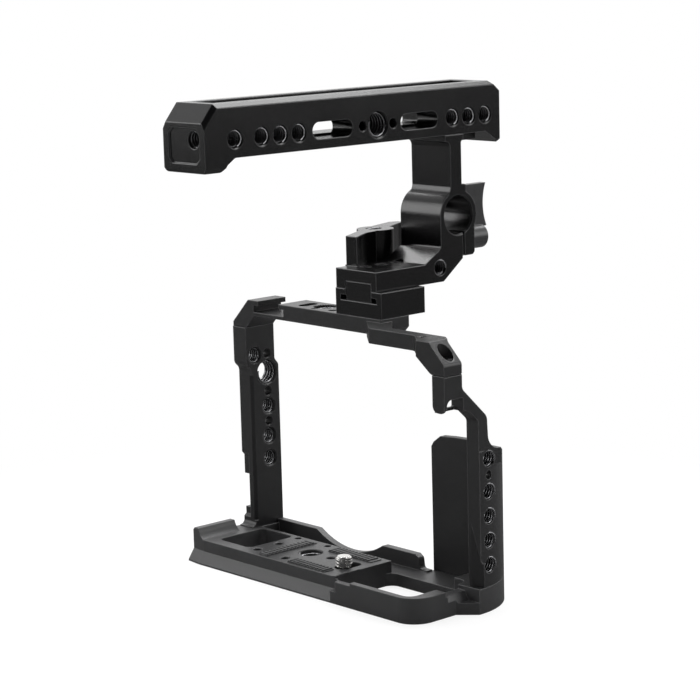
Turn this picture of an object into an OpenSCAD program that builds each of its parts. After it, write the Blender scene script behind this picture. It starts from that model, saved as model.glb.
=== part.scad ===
// Camera cage with a top handle, sizes in millimetres.
// +X is the grip side seen from behind, +Y the lens side, +Z up.
// The origin is the centre of the tripod hole on the underside of the base.

/* [Cage] */
// From the tripod hole to the left end of the base
left_reach = 55.5; // [53:0.5:67]
// From the tripod hole to the right side of the cage
right_reach = 87.5; // [84:0.5:105]
// From the tripod hole to the rear edge of the base
rear_reach = 20; // [19:0.5:24]
// From the underside to the top of the top plate
cage_h = 107.3; // [102:0.1:129]
// Thickness of the base platform
base_t = 9.8; // [8.6:0.1:11.8]
// Thickness of the left post
post_t = 8; // [6.6:0.1:9.6]
// Thickness of the right arm and of the curved post
arm_t = 6.3; // [5.2:0.1:7.5]
// Height of the grip plate's shoulder
grip_h = 62.8; // [60:0.1:66]

/* [Holes] */
// Hole for a quarter inch screw, diameter
quarter_d = 6.5; // [5.4:0.1:7]
// Hole for a three eighths inch screw, diameter
eighths_d = 9.8; // [8.2:0.1:10.2]
// Hole for a locating pin, diameter
pin_d = 3.6; // [3:0.1:4.3]
// Pitch of the holes along the posts
post_pitch = 9.525; // [8:0.005:9.6]
// Thread diameter of the small machine screws
screw_d = 2.9; // [2.5:0.1:3.4]

/* [Shoe] */
// Width of the block that holds the handle
shoe_w = 26.3; // [25:0.1:31]
// Length of the block that holds the handle
shoe_len = 23.3; // [20:0.1:28]
// Width of the slot for the slider's flange
slot_w = 20.8; // [18:0.1:22.5]
// Clearance between the slider and its slot, each side
slide_gap = 0.1; // [0.05:0.05:0.2]

/* [Handle] */
// Length of the handle bar
handle_len = 151.9; // [140:0.1:182]
// Width of the handle bar
handle_w = 24; // [20:0.1:28]
// Width of the riser, flush with the handle's right side
riser_w = 23; // [20:0.1:26]
// Height of the handle bar
handle_h = 25; // [23:0.1:30]
// Diameter of the rod that the ring takes
rod_d = 15.1; // [12.5:0.1:16]
// Height of the wing above the clamp screw's axis
wing_reach = 21.7; // [18:0.1:26]

/* [Hidden] */
$fn = 96;
over = 1;

// Base
platform_front = 13.5;
platform_right = 33.2;
trench_z = 5;
lip_in = 23;
lip_out = 26;
lip_z = base_t + 1.5;
lip_left = -47;
lip_right = 39.6;
scoop_x = -2;
scoop_r = 37.5;
scoop_low = 5.5;
flare_z = 0.7;
neck_z = 4.9;
neck_in = 3;
rail_z = base_t + 0.2;
side_z = base_t - 1.8;
seat_z = base_t;
open_right = right_reach - 11.5;
open_front = 13.5;
wall_t = 2.5;
corner_r = 9;
bulge_r = 30.5;
bulge_x = right_reach - bulge_r;
bulge_y = 9;
bulge_front = 33;
grip_left = 42.9;
pad_h = 0.8;
pad_sunk = 0.6;
window_x = -44;
window_w = 20;
window_y = -12;
window_len = 24;
camera_x = 25.7;
camera_y = -5;
camera_low = -9;
camera_high = 3;
camera_shank_r = 3.1;
camera_neck_r = 2.6;
camera_head_r = 4.6;
camera_proud = 4.5;
corner_x = -left_reach + 8.2;
corner_turn = 7;
camera_gap = 0.35;

// Posts
post_left = -left_reach + 0.5;
post_right = post_left + post_t;
foot_rear = 11.2;
toe_rear = 8.8;
relief_x = post_left + 4.3;
relief_y = foot_rear + 1.2;
foot_front = 26;
neck_rear = 8.7;
neck_front = 24;
seam_left = cage_h - 11.9;
seam_right = cage_h - 13.5;
step_z = cage_h - 27.3;
arm_out = right_reach - 0.2;
arm_in = arm_out - arm_t;
arm_rear = -8.5;
arm_front = 0.8;
post_rear = 9;
strap_x = arm_in + 1.3;
strap_low = cage_h - 27.7;
strap_top = cage_h - 22.45;
strap_bar = 1.15;
lean_x = arm_in + 1.2;
lean_y = 1.8;
lean_z = 1.8;
seam_groove = 0.35;
hole_y = 14.4;
rebate_y = 27.4;
rebate_x = right_reach - 11.5;
grip_t = 3;
grip_top = grip_h - 1.7;

// Top frame
bevel = 8;
plate_z = cage_h - 6.3;
bar_z = cage_h - 7.3;
bar_top = cage_h - 1.3;
frame_rear = 9;
frame_front = 24;
cold_x = -32.2;
cold_w = 18.8;
cold_mouth = 13;
cold_floor = cage_h - 4.8;
cold_lip = 2;
plate_right = 35.3;

// Shoe and riser
shoe_right = 35.3;
shoe_rear = 9.5;
shoe_h = 10.3;
shoe_top = cage_h + shoe_h;
slot_x = shoe_right - shoe_w / 2;
flange_low = shoe_top - 4.5;
flange_high = shoe_top - 2.4;
mouth_w = slot_w - 5.9;
stop_t = 1.3;
slider_rear = shoe_rear + 0.2;
slider_neck = 38;
foot_low = shoe_top + slide_gap;
foot_high = foot_low + 7.8;
pocket_h = 3.1;
pocket_front = 39;
riser_x = 20.5;
handle_left = riser_x - handle_w / 2;
handle_right = riser_x + handle_w / 2;
riser_right = handle_right;
riser_left = riser_right - riser_w;
column_left = riser_left + 0.9;
ring_y = 55.2;
ring_z = foot_low + 25.7;
ring_r = 10;
bore_r = rod_d / 2;
ring_front = ring_y + 8.8;
slit_y = ring_y + 2.3;
slit_t = 1;
jaw_low = ring_z - 16.6;
column_rear = 51.2;
column_front = 57.2;
web_r = 4.5;
web_z = ring_z + sqrt(pow(ring_r + web_r, 2) - pow(ring_y - column_rear + web_r, 2));
handle_low = ring_z + 27.1;
recess_z = handle_low + 5;
flange_z = recess_z - 2.4;
flange_rear = 48.5;
flange_front = 58.6;
tongue_z = recess_z - 3.2;
tongue_half = 6.5;
tongue_front = 70.9;
clamp_z = ring_z - 11.6;
clamp_r = 3;
clamp_run = 0.06;
clamp_rear = ring_y - 8;
block_z = foot_high + 11.9;

// Handle
handle_rear = 79.4 - handle_len;
handle_front = 79.4;
handle_top = handle_low + handle_h;
handle_hole_z = handle_low + 11.9;
slope_start = 71.4;
top_bevel = 1.6;
low_bevel = 1.6;
end_slope = [5.5, 6.7];
web_t = 11.5;
groove_half = 2.4;

// How far an arc reaches past its two edges, so that it crosses them cleanly
slip = 0.01;

// Unit vector from one point to another
function way(a, b) = (b - a) / norm(b - a);

// Cross product of two flat vectors, positive where the path turns left
function turn(u, v) = u[0] * v[1] - u[1] * v[0];

// What an arc of radius r adds or takes at corner p between a and b
module corner_fill(a, p, b, r) {
    u = way(p, a);
    v = way(p, b);
    half = acos(u * v) / 2;
    mid = (u + v) / norm(u + v);
    reach = r / tan(half);
    middle = p + mid * r / sin(half);
    difference() {
        polygon([p - mid * 0.5, p + u * reach, middle, p + v * reach]);
        translate(middle) circle(r = r + slip);
    }
}

// Outline through points, anticlockwise, with an arc of its own radius at each corner
module soft_outline(points, radii) {
    n = len(points);
    difference() {
        union() {
            polygon(points);
            for (i = [0:n - 1]) {
                a = points[(i + n - 1) % n];
                p = points[i];
                b = points[(i + 1) % n];
                if (radii[i] > 0 && turn(p - a, b - p) < 0) corner_fill(a, p, b, radii[i]);
            }
        }
        for (i = [0:n - 1]) {
            a = points[(i + n - 1) % n];
            p = points[i];
            b = points[(i + 1) % n];
            if (radii[i] > 0 && turn(p - a, b - p) > 0) corner_fill(a, p, b, radii[i]);
        }
    }
}

// Rectangle from corner to corner with round corners
module soft_rect(x0, y0, x1, y1, r) {
    soft_outline([[x0, y0], [x1, y0], [x1, y1], [x0, y1]], [r, r, r, r]);
}

// Box from corner to corner
module block(low, high) {
    translate(low) cube(high - low);
}

// Stands a flat shape drawn in (Y, Z) up and runs it along X
module along_x(x0, x1) {
    translate([x0, 0, 0]) rotate([90, 0, 90]) linear_extrude(height = x1 - x0) children();
}

// Stands a flat shape drawn in (X, Z) up and runs it along Y
module along_y(y0, y1) {
    translate([0, y1, 0]) rotate([90, 0, 0]) linear_extrude(height = y1 - y0) children();
}

// Cutter for a hole along X, opened a little at both faces
module hole_x(x0, x1, y, z, d, sink) {
    r = d / 2;
    translate([x0 - over, y, z]) rotate([0, 90, 0]) cylinder(r = r, h = x1 - x0 + 2 * over);
    translate([x0 - over, y, z]) rotate([0, 90, 0]) cylinder(r1 = r + sink + over, r2 = r, h = sink + over);
    translate([x1 + over, y, z]) rotate([0, -90, 0]) cylinder(r1 = r + sink + over, r2 = r, h = sink + over);
}

// Cutter for a hole along Z, opened a little at its top
module hole_z(x, y, z0, z1, d, sink) {
    r = d / 2;
    translate([x, y, z0 - over]) cylinder(r = r, h = z1 - z0 + 2 * over);
    translate([x, y, z1 - sink]) cylinder(r1 = r, r2 = r + sink + over, h = sink + over);
}

// Machine screw along Z, head at z and thread running up, or down when up is false
module machine_screw(x, y, z, length, up) {
    head_r = screw_d / 2 + 1.2;
    head_h = 2;
    turned = up ? 0 : 180;
    translate([x, y, z]) rotate([turned, 0, 0]) difference() {
        union() {
            translate([0, 0, -head_h]) cylinder(r = head_r, h = head_h);
            cylinder(r = screw_d / 2, h = length);
        }
        translate([0, 0, -head_h - over]) cylinder(r = 1.25, h = over + 1.2, $fn = 6);
    }
}

// Cutter for a machine screw's head pocket and its hole
module screw_seat(x, y, z, length, pocket, up) {
    turned = up ? 0 : 180;
    translate([x, y, z]) rotate([turned, 0, 0]) union() {
        translate([0, 0, -pocket]) cylinder(r = screw_d / 2 + 1.5, h = pocket);
        translate([0, 0, -over]) cylinder(r = screw_d / 2 + 0.1, h = length + over + 0.3);
    }
}

// Places of the screws that hold the left and right posts on the base
left_feet = [[post_left + 4, 16.2], [post_left + 4, 22.2]];
right_feet = [[right_reach - 6, 20], [right_reach - 10.6, 25.4]];
feet = concat(left_feet, right_feet);
foot_head_z = 3.2;
foot_screw_len = 13.5;

// Outline of the whole base seen from above
module base_plan() {
    right = right_reach - 6.5;
    union() {
        translate([-left_reach, -rear_reach]) square([left_reach + right - corner_r, rear_reach + lip_out]);
        translate([right - corner_r, -rear_reach + corner_r]) circle(r = corner_r);
        translate([right - corner_r, -rear_reach + corner_r]) square([corner_r, rear_reach]);
        intersection() {
            translate([bulge_x, bulge_y]) circle(r = bulge_r);
            polygon([
                [grip_left, 0], [right - 0.3, 1.4], [right_reach + 1, 8.8],
                [right_reach + 1, bulge_front], [grip_left, bulge_front]
            ]);
        }
    }
}

// The battery door opening in the base
module door_plan() {
    soft_rect(platform_right, -rear_reach + wall_t, open_right, open_front, 4);
}

// Wall of the curved post seen from above
module post_plan() {
    difference() {
        intersection() {
            translate([bulge_x, bulge_y]) circle(r = bulge_r);
            translate([right_reach - 18, post_rear]) square([20, bulge_front - 0.5 - post_rear]);
        }
        intersection() {
            translate([bulge_x, bulge_y]) circle(r = bulge_r - arm_t - 0.2);
            translate([bulge_x, 0]) square([bulge_r, rebate_y - 4]);
        }
        translate([right_reach - 19, rebate_y]) square([7.5, 8]);
    }
}

// Base: platform, low trench, front lip, battery door frame and post seats
module base_plate() {
    color([0.16, 0.16, 0.165]) difference() {
        union() {
            linear_extrude(height = trench_z) base_plan();
            block([-left_reach, -rear_reach, 0], [platform_right, platform_front, base_t]);
            // front lip
            along_y(lip_in, lip_out)
                soft_outline(
                    [[lip_left, 1], [lip_right + 4, 1], [lip_right + 4, 5.6], [lip_right, 5.6],
                     [lip_right - 0.6, 10], [lip_right - 2.6, lip_z], [lip_left, lip_z]],
                    [0, 0, 0, 1.5, 1.5, 1, 0]
                );
            // rear wall of the battery door frame
            linear_extrude(height = rail_z) intersection() {
                base_plan();
                translate([platform_right - over, -rear_reach])
                    square([right_reach - platform_right, rear_reach - 3.5]);
            }
            // side strip and the seat of the curved post
            linear_extrude(height = side_z) intersection() {
                base_plan();
                translate([open_right - over, -4]) square([14, 16]);
            }
            linear_extrude(height = seat_z) intersection() {
                base_plan();
                post_seat_plan();
            }
            // left seat and hook
            block([-left_reach, platform_front - 2.5, 1], [post_right + 0.8, foot_front, seat_z]);
            difference() {
                block([-left_reach, -rear_reach + neck_in - over, base_t - over], [-left_reach + 8.8, 3, base_t + 4.1]);
                translate([-left_reach + 10, 0, base_t + 5.6]) rotate([90, 0, 0])
                    cylinder(r = 6.2, h = 60, center = true);
                along_y(-20, 5)
                    polygon([
                        [-left_reach - 1, base_t + 3], [-left_reach - 1, base_t + 5],
                        [-left_reach + 1.2, base_t + 5], [-left_reach + 1.2, base_t + 4.1],
                        [-left_reach, base_t + 3]
                    ]);
            }
        }
        // dovetail under the rear edge
        along_x(-left_reach - over, platform_right + 0.5)
            polygon([
                [-rear_reach - over, flare_z], [-rear_reach, flare_z], [-rear_reach + neck_in, neck_z],
                [-rear_reach + neck_in, base_t + 6], [-rear_reach - over, base_t + 6]
            ]);
        // slanted face at the rear left corner, flare included
        translate([corner_x, -rear_reach + neck_in, 0]) rotate([0, 0, -corner_turn])
            along_x(-12, 1)
                polygon([
                    [-neck_in, -over], [-neck_in, flare_z], [0, neck_z], [0, base_t + 6],
                    [-neck_in - 4, base_t + 6], [-neck_in - 4, -over]
                ]);
        // round right end of the dovetail's groove
        translate([platform_right + 0.5 - slip, -rear_reach, neck_z]) cylinder(r = neck_in + 0.1, h = base_t);
        // battery door opening
        translate([0, 0, -over]) linear_extrude(height = rail_z + 2 * over) door_plan();
        // low place in the rear wall
        block([platform_right + 0.5, -rear_reach - over, base_t - 0.8], [platform_right + 12, -14, rail_z + over]);
        // slope from the side strip down to its outer edge
        along_y(-2.4, 8)
            polygon([
                [right_reach - 8, side_z + 0.1], [right_reach - 5.8, side_z - 3.4],
                [right_reach + over, side_z - 3.4], [right_reach + over, side_z + 0.1]
            ]);
        // lens scoop
        translate([scoop_x, platform_front, scoop_low + scoop_r]) rotate([-90, 0, 0])
            cylinder(r = scoop_r, h = lip_out - platform_front + over, $fn = 200);
        // window and holes of the platform
        translate([0, 0, -over]) linear_extrude(height = base_t + 2 * over)
            soft_rect(window_x, window_y, window_x + window_w, window_y + window_len, 3);
        hole_z(0, 0, 0, base_t, eighths_d, 0.4);
        for (spot = [[-20.2, 0.6], [-20, -11.1], [-1.6, -12], [12.2, 0.2]])
            hole_z(spot[0], spot[1], 0, base_t, pin_d, 0.4);
        for (x = [-20.4, -2.2]) hole_z(x, 11.2, 0, base_t, 3, 0.1);
        // slot of the camera screw, wide below for its head
        translate([0, 0, -over]) linear_extrude(height = base_t + 2 * over)
            soft_rect(camera_x - camera_shank_r - camera_gap, camera_low, camera_x + camera_shank_r + camera_gap,
                camera_high, camera_shank_r + camera_gap - 0.01);
        translate([0, 0, -over]) linear_extrude(height = base_t - 4.2 + over)
            soft_rect(camera_x - camera_head_r - 0.5, camera_low - 2, camera_x + camera_head_r + 0.5,
                camera_high + 2, camera_head_r + 0.49);
        // shallow beds of the rubber pads
        for (pad = pad_places)
            block([pad[0], pad[1], base_t - pad_sunk], [pad[2], pad[3], base_t + over]);
        // seats of the screws that come up into the posts
        for (foot = feet) screw_seat(foot[0], foot[1], foot_head_z, foot_screw_len, foot_head_z + over, true);
    }
}

// Ground that the curved post stands on, clear of the grip plate
module post_seat_plan() {
    difference() {
        translate([right_reach - 19, post_rear - 1]) square([20, bulge_front - post_rear + 1]);
        translate([right_reach - 20, rebate_y]) square([rebate_x - right_reach + 20, 8]);
    }
}

// Rubber pads: low corner and high corner of each
pad_places = [[-13.6, -16, -8.4, 11.2], [3.6, -15.8, 26.2, -10.6], [4, 5.8, 29.6, 11.8]];

// Three ribbed rubber pads
module base_pads() {
    rib = 0.5;
    gap = 0.15;
    color([0.09, 0.09, 0.095]) for (pad = pad_places) {
        lengthwise = pad[2] - pad[0] > pad[3] - pad[1];
        count = floor(max(pad[2] - pad[0], pad[3] - pad[1]) / 2) - 1;
        union() {
            block([pad[0] + gap, pad[1] + gap, base_t - pad_sunk], [pad[2] - gap, pad[3] - gap, base_t + pad_h - rib]);
            for (i = [0:count])
                if (lengthwise)
                    block([pad[0] + 0.6 + i * 2, pad[1] + gap, base_t], [pad[0] + 1.6 + i * 2, pad[3] - gap, base_t + pad_h]);
                else
                    block([pad[0] + gap, pad[1] + 0.6 + i * 2, base_t], [pad[2] - gap, pad[1] + 1.6 + i * 2, base_t + pad_h]);
        }
    }
}

// Left post with its row of holes
quarter_spots = [cage_h - 46.5, cage_h - 59.3, cage_h - 68.8];
big_z = cage_h - 32.1;

module left_post() {
    color([0.13, 0.13, 0.135]) difference() {
        along_x(post_left, post_right)
            soft_outline(
                [[toe_rear, seat_z], [foot_front, seat_z], [foot_front, step_z - 2], [neck_front, step_z + 0.4],
                 [neck_front, seam_left], [neck_rear, seam_left], [neck_rear, step_z], [foot_rear, step_z - 2.5],
                 [foot_rear, seat_z + 0.4], [toe_rear, seat_z + 0.4]],
                [0, 0, 2, 2, 0, 0, 3, 3, 2.2, 0]
            );
        for (z = quarter_spots) hole_x(post_left, post_right, 20, z, quarter_d, 0.5);
        hole_x(post_left, post_right, neck_rear + 4.6, cage_h - 24.1, quarter_d, 0.5);
        hole_x(post_left, post_right, 19.7, big_z, eighths_d, 0.5);
        for (z = [cage_h - 24.1, cage_h - 40.2, cage_h - 52.9]) hole_x(post_left, post_right, 19.9, z, pin_d, 0.3);
        // step with a slanting ledge in the outer rear edge, and relief in the outer side
        along_x(post_left - over, relief_x)
            polygon([[foot_rear - over, 42.6], [relief_y, 40], [relief_y, 14.6], [foot_rear - over, 12.8]]);
        block([post_left - over, foot_rear - over, 17.6], [relief_x, foot_rear + 5.2, 32]);
        // bevel of the inner rear edge
        translate([0, 0, seat_z + 3]) linear_extrude(height = step_z - seat_z - 8)
            polygon([
                [post_right - 1.7, foot_rear - 0.5], [post_right + 0.5, foot_rear - 0.5],
                [post_right + 0.5, foot_rear + 1.7]
            ]);
        for (foot = left_feet) screw_seat(foot[0], foot[1], foot_head_z, foot_screw_len, 1, true);
        for (spot = left_tops) screw_seat(spot[0], spot[1], top_head_z, top_screw_len, 1, false);
    }
}

// Screws that hold the top frame on the left post, and dowels on the right
left_tops = [[post_left + 4.2, 12.6], [post_left + 4.2, 20.4]];
top_head_z = seam_left + 3.4;
top_screw_len = 10;
right_tops = [[arm_out - arm_t * 0.635, -3.6]];
right_head_z = cage_h - 9.8;
right_dowels = [[arm_in + arm_t / 2, -6.8]];
dowel_r = 1.1;
dowel_gap = 0.03;
dowel_low = seam_right - 4.6;
dowel_high = seam_right + 3;

// Right arm with the strap eye, and the curved post below it
module right_post() {
    color([0.13, 0.13, 0.135]) difference() {
        union() {
            along_x(arm_in, arm_out)
                soft_outline(
                    [[arm_rear, seam_right], [arm_rear, strap_low], [3.6, strap_low], [post_rear, cage_h - 32.6],
                     [post_rear, grip_h - 6], [21, grip_h - 6], [21, grip_h], [14.3, grip_h],
                     [13.6, cage_h - 31.4], [arm_front, cage_h - 19.2], [arm_front, seam_right]],
                    [0, 1, 4, 2.5, 0, 0, 0, 6, 4, 3, 0]
                );
            translate([0, 0, seat_z]) linear_extrude(height = grip_h - seat_z) post_plan();
        }
        // strap eye, closed by a thin bar on the inner side and open below on the outer side
        along_x(arm_in - over, strap_x + over) soft_rect(-6.3, strap_low + strap_bar, 1.3, strap_top, 0.6);
        along_x(strap_x, arm_out + over)
            soft_outline(
                [[-7.2, strap_low - over], [1.3, strap_low - over], [1.3, strap_top], [-7.2, strap_top]],
                [0, 0, 0.6, 2.5]
            );
        strap_rounding(arm_in, 1, -7.4);
        strap_rounding(arm_out, -1, -6);
        // slanted rear side
        lean_cut();
        // V groove of the seam and the falling top of the curved post
        along_y(arm_rear - over, arm_front + over)
            polygon([
                [arm_out - seam_groove - 0.5, seam_right + 0.5], [arm_out + 0.5, seam_right - seam_groove - 0.5],
                [arm_out + 0.5, seam_right + 0.5]
            ]);
        along_x(bulge_x, right_reach + over)
            polygon([[20.6, grip_h + 0.15], [35, grip_h - 5.5], [35, grip_h + over], [20.6, grip_h + over]]);
        for (i = [0, 2, 3, 4, 5])
            hole_x(arm_in - 2, right_reach, hole_y, grip_h - 3.3 - (i + (i > 1 ? -0.667 : 0)) * post_pitch, quarter_d, 0);
        hole_x(arm_in - 2, right_reach, hole_y, grip_h - 3.3 - 0.667 * post_pitch, pin_d, 0);
        for (foot = right_feet) screw_seat(foot[0], foot[1], foot_head_z, foot_screw_len, 1, true);
        for (spot = right_dowels)
            translate([spot[0], spot[1], dowel_low]) cylinder(r = dowel_r + dowel_gap, h = dowel_high - dowel_low);
        for (spot = right_tops) screw_seat(spot[0], spot[1], right_head_z, top_screw_len, 1, false);
        for (z = grip_rows) grip_seat(z);
    }
}

// Rounds one lower corner of the strap eye's rear wall: side x, way inwards, front end of the cut
module strap_rounding(x, inward, front) {
    round_r = 3.1;
    along_y(arm_rear - over, front)
        difference() {
            polygon([
                [x - inward * over, strap_low - over], [x + inward * round_r, strap_low - over],
                [x + inward * round_r, strap_low + round_r], [x - inward * over, strap_low + round_r]
            ]);
            translate([x + inward * round_r, strap_low + round_r]) circle(r = round_r + slip);
        }
}

// Takes the slanted rear side off: a prism that leans forward and up towards the outer side
lean_turn = atan2(lean_y, arm_out - lean_x);
lean_rise = atan2(lean_z, norm([arm_out - lean_x, lean_y]));

// A point of the arm's side view as the leaning prism sees it
function leaned(p) = [p[0] * cos(lean_turn), p[1] * cos(lean_rise) - p[0] * sin(lean_rise) * sin(lean_turn)];

module lean_cut() {
    contour = [
        [1.3, seat_z - 2], [1.3, strap_low], [3.9, strap_low], [post_rear, cage_h - 32.5],
        [post_rear, seat_z - 2]
    ];
    translate([lean_x, 0, 0]) rotate([0, -lean_rise, lean_turn])
        along_x(0, 14) polygon([for (p = contour) leaned(p)]);
}

// Heights of the screws that hold the grip plate, and their place
grip_rows = [15, 34, grip_h - 9];
grip_screw_x = rebate_x - 3.2;

// Cutter for one countersunk grip screw along Y
module grip_seat(z) {
    translate([grip_screw_x, rebate_y + grip_t + over, z]) rotate([90, 0, 0])
        cylinder(r = screw_d / 2 + 0.05, h = grip_t + over + 3.4);
}

// Flat grip plate that stands on the front of the base
module grip_plate() {
    low = trench_z;
    right = rebate_x - 0.2;
    color([0.1, 0.1, 0.104]) difference() {
        along_y(rebate_y, rebate_y + grip_t)
            polygon([
                [grip_left, low], [right, low], [right, grip_top - 3.5], [right - 9, grip_top],
                [grip_left + 11.5, grip_top - 0.5],
                [grip_left + 5, grip_top - 1], [grip_left + 1.3, grip_top - 3.7], [grip_left, grip_top - 5.6]
            ]);
        for (z = grip_rows) {
            grip_seat(z);
            translate([grip_screw_x, rebate_y + grip_t + over, z]) rotate([90, 0, 0])
                cylinder(r1 = screw_d / 2 + 2.5, r2 = screw_d / 2 + 0.05, h = 1.5 + over);
        }
    }
}

// Countersunk screws of the grip plate
module grip_screws() {
    color([0.2, 0.2, 0.2]) for (z = grip_rows)
        translate([grip_screw_x, rebate_y + grip_t - 0.1, z]) rotate([90, 0, 0]) difference() {
            union() {
                cylinder(r1 = screw_d / 2 + 1.3, r2 = screw_d / 2, h = 1.4);
                cylinder(r = screw_d / 2, h = grip_t + 3);
            }
            translate([0, 0, -over]) cylinder(r = 0.9, h = over + 1, $fn = 6);
        }
}

// Plan of the bar that joins the top plate to the right corner
module bar_plan() {
    right = right_reach - 87.5;
    soft_outline(
        [[27, frame_rear], [39.1, -1.1], [64.2 + right, -1.1], [73.3 + right, arm_rear],
         [arm_out, arm_rear], [arm_out, arm_front], [80.2 + right, arm_front], [75.8 + right, 4], [46.3, 4],
         [plate_right, 15], [27, 15]],
        [0, 3, 4, 3, 0, 0, 1.5, 2, 4, 0, 0]
    );
}

// Top frame: left corner, cold shoe, plate, bar and right corner in one piece
module top_frame() {
    left = post_left;
    half = cold_w / 2;
    mouth = cold_mouth / 2;
    color([0.13, 0.13, 0.135]) difference() {
        union() {
            along_y(frame_rear, frame_front)
                polygon([
                    [left, seam_left], [left, seam_left + 2], [left + bevel + 1.9, cage_h], [plate_right, cage_h],
                    [plate_right, plate_z + 2], [plate_right - 2, plate_z], [post_right + 5.6, plate_z],
                    [post_right, seam_left]
                ]);
            translate([0, 0, bar_z]) linear_extrude(height = bar_top - bar_z) bar_plan();
            along_y(arm_rear, arm_front)
                soft_outline(
                    [[arm_out - 14.7, bar_z], [arm_in - 1.4, seam_right + 0.8], [arm_in, seam_right],
                     [arm_out - seam_groove, seam_right], [arm_out, seam_right + seam_groove],
                     [arm_out, bar_top - bevel], [arm_out - bevel, bar_top], [arm_out - 14.7, bar_top]],
                    [0, 1.5, 0, 0, 0, 2, 0, 0]
                );
        }
        // slope of the right corner through the bar's end
        along_y(arm_rear - over, arm_front + over)
            polygon([
                [arm_out - bevel, bar_top + 0.01], [arm_out + 0.01, bar_top - bevel], [arm_out + 3, bar_top - bevel],
                [arm_out + 3, bar_top + 3], [arm_out - bevel, bar_top + 3]
            ]);
        // cold shoe
        along_y(frame_rear - over, frame_front + over)
            polygon([
                [cold_x - half, cold_floor], [cold_x + half, cold_floor], [cold_x + half, cage_h - cold_lip],
                [cold_x + mouth, cage_h - cold_lip], [cold_x + mouth, cage_h + over],
                [cold_x - mouth, cage_h + over], [cold_x - mouth, cage_h - cold_lip], [cold_x - half, cage_h - cold_lip]
            ]);
        // holes of the plate
        hole_z(-7, 18, plate_z, cage_h, eighths_d, 0.4);
        hole_z(2.7, 13.4, plate_z, cage_h, pin_d, 0.3);
        hole_z(-6.5, 11.6, plate_z, cage_h, 2.6, 0.3);
        translate([0, 0, plate_z - over]) linear_extrude(height = 6.3 + 2 * over)
            soft_rect(-18.2, 12, -13.4, 21, 2.3);
        // V groove of the right seam
        along_x(arm_in - 2, arm_out + over)
            polygon([
                [arm_rear - 0.5, seam_right + seam_groove + 0.5], [arm_rear - 0.5, seam_right - 0.5],
                [arm_rear + seam_groove + 0.5, seam_right - 0.5]
            ]);
        // screw of the right corner, let in through its slope
        for (spot = right_tops) screw_seat(spot[0], spot[1], right_head_z, top_screw_len, 12, false);
        // screw hole in the bar
        hole_z(right_reach - 18.6, -1.4, bar_z, bar_top, 2.5, 0.4);
        for (spot = left_tops) screw_seat(spot[0], spot[1], top_head_z, top_screw_len, 12, false);
        for (spot = right_dowels)
            translate([spot[0], spot[1], dowel_low]) cylinder(r = dowel_r + dowel_gap, h = dowel_high - dowel_low);
        for (spot = shoe_spots) screw_seat(spot[0], spot[1], plate_z + 2.6, 9.6, 2.6 + over, true);
    }
}

// Places of the screws that hold the shoe block
shoe_spots = [[15, 13.2], [28.5, 13.2], [15, 20.6], [28.5, 20.6]];

// Block with the T slot that takes the slider
module shoe_block() {
    left = shoe_right - shoe_w;
    color([0.09, 0.09, 0.093]) difference() {
        block([left, shoe_rear, cage_h], [shoe_right, shoe_rear + shoe_len, shoe_top]);
        block([slot_x - slot_w / 2, shoe_rear - over, flange_low],
            [slot_x + slot_w / 2, shoe_rear + shoe_len - stop_t, flange_high]);
        block([slot_x - mouth_w / 2, shoe_rear - over, flange_low],
            [slot_x + mouth_w / 2, shoe_rear + shoe_len + over, shoe_top + over]);
        for (spot = shoe_spots) screw_seat(spot[0], spot[1], plate_z + 2.6, 9.6, 1, true);
    }
}

// Slider: flange in the slot and neck up into the riser's foot
module shoe_slider() {
    wide = slot_w / 2 - slide_gap;
    neck = mouth_w / 2 - slide_gap - 0.3;
    color([0.1, 0.1, 0.103]) difference() {
        union() {
            block([slot_x - wide, slider_rear + 2.4, flange_low + slide_gap],
                [slot_x + wide, shoe_rear + shoe_len - stop_t - 0.3, flange_high - slide_gap]);
            block([slot_x - neck, slider_rear, flange_low + slide_gap],
                [slot_x + neck, shoe_rear + shoe_len, foot_low + pocket_h]);
            block([slot_x - neck, slider_rear, foot_low], [slot_x + neck, slider_neck, foot_low + pocket_h]);
        }
        for (y = slider_spots) screw_seat(slider_x, y, slider_head_z, slider_screw_len, 1, false);
    }
}

// Places of the screws that hold the slider in the foot
slider_spots = [18.2, 26.9, 34.6];
slider_x = slot_x - 4.9;
slider_head_z = foot_high - 2.2;
slider_screw_len = 5;

// Tall block on the left of the foot, seen from above: wedge, boss and arm
tall_x = riser_left - 8.3;
tall_y = 38.7;

module tall_plan() {
    translate([riser_left, 0]) union() {
        polygon([
            [-0.2, 15.3], [5.8, 15.6], [2.1, 21.4], [-0.9, 26.8], [-1.9, 33], [-8.3, 38.7], [-14.6, 36.2], [-6.9, 27.5]
        ]);
        polygon([
            [-4.5, 43.5], [-7.5, 45], [-13.4, 56.5], [-14.3, 60.5], [-18, 60.5], [-19.5, 57], [-15.5, 44.5],
            [-13.5, 40]
        ]);
    }
    translate([tall_x, tall_y]) circle(r = 7.5);
}

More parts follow.
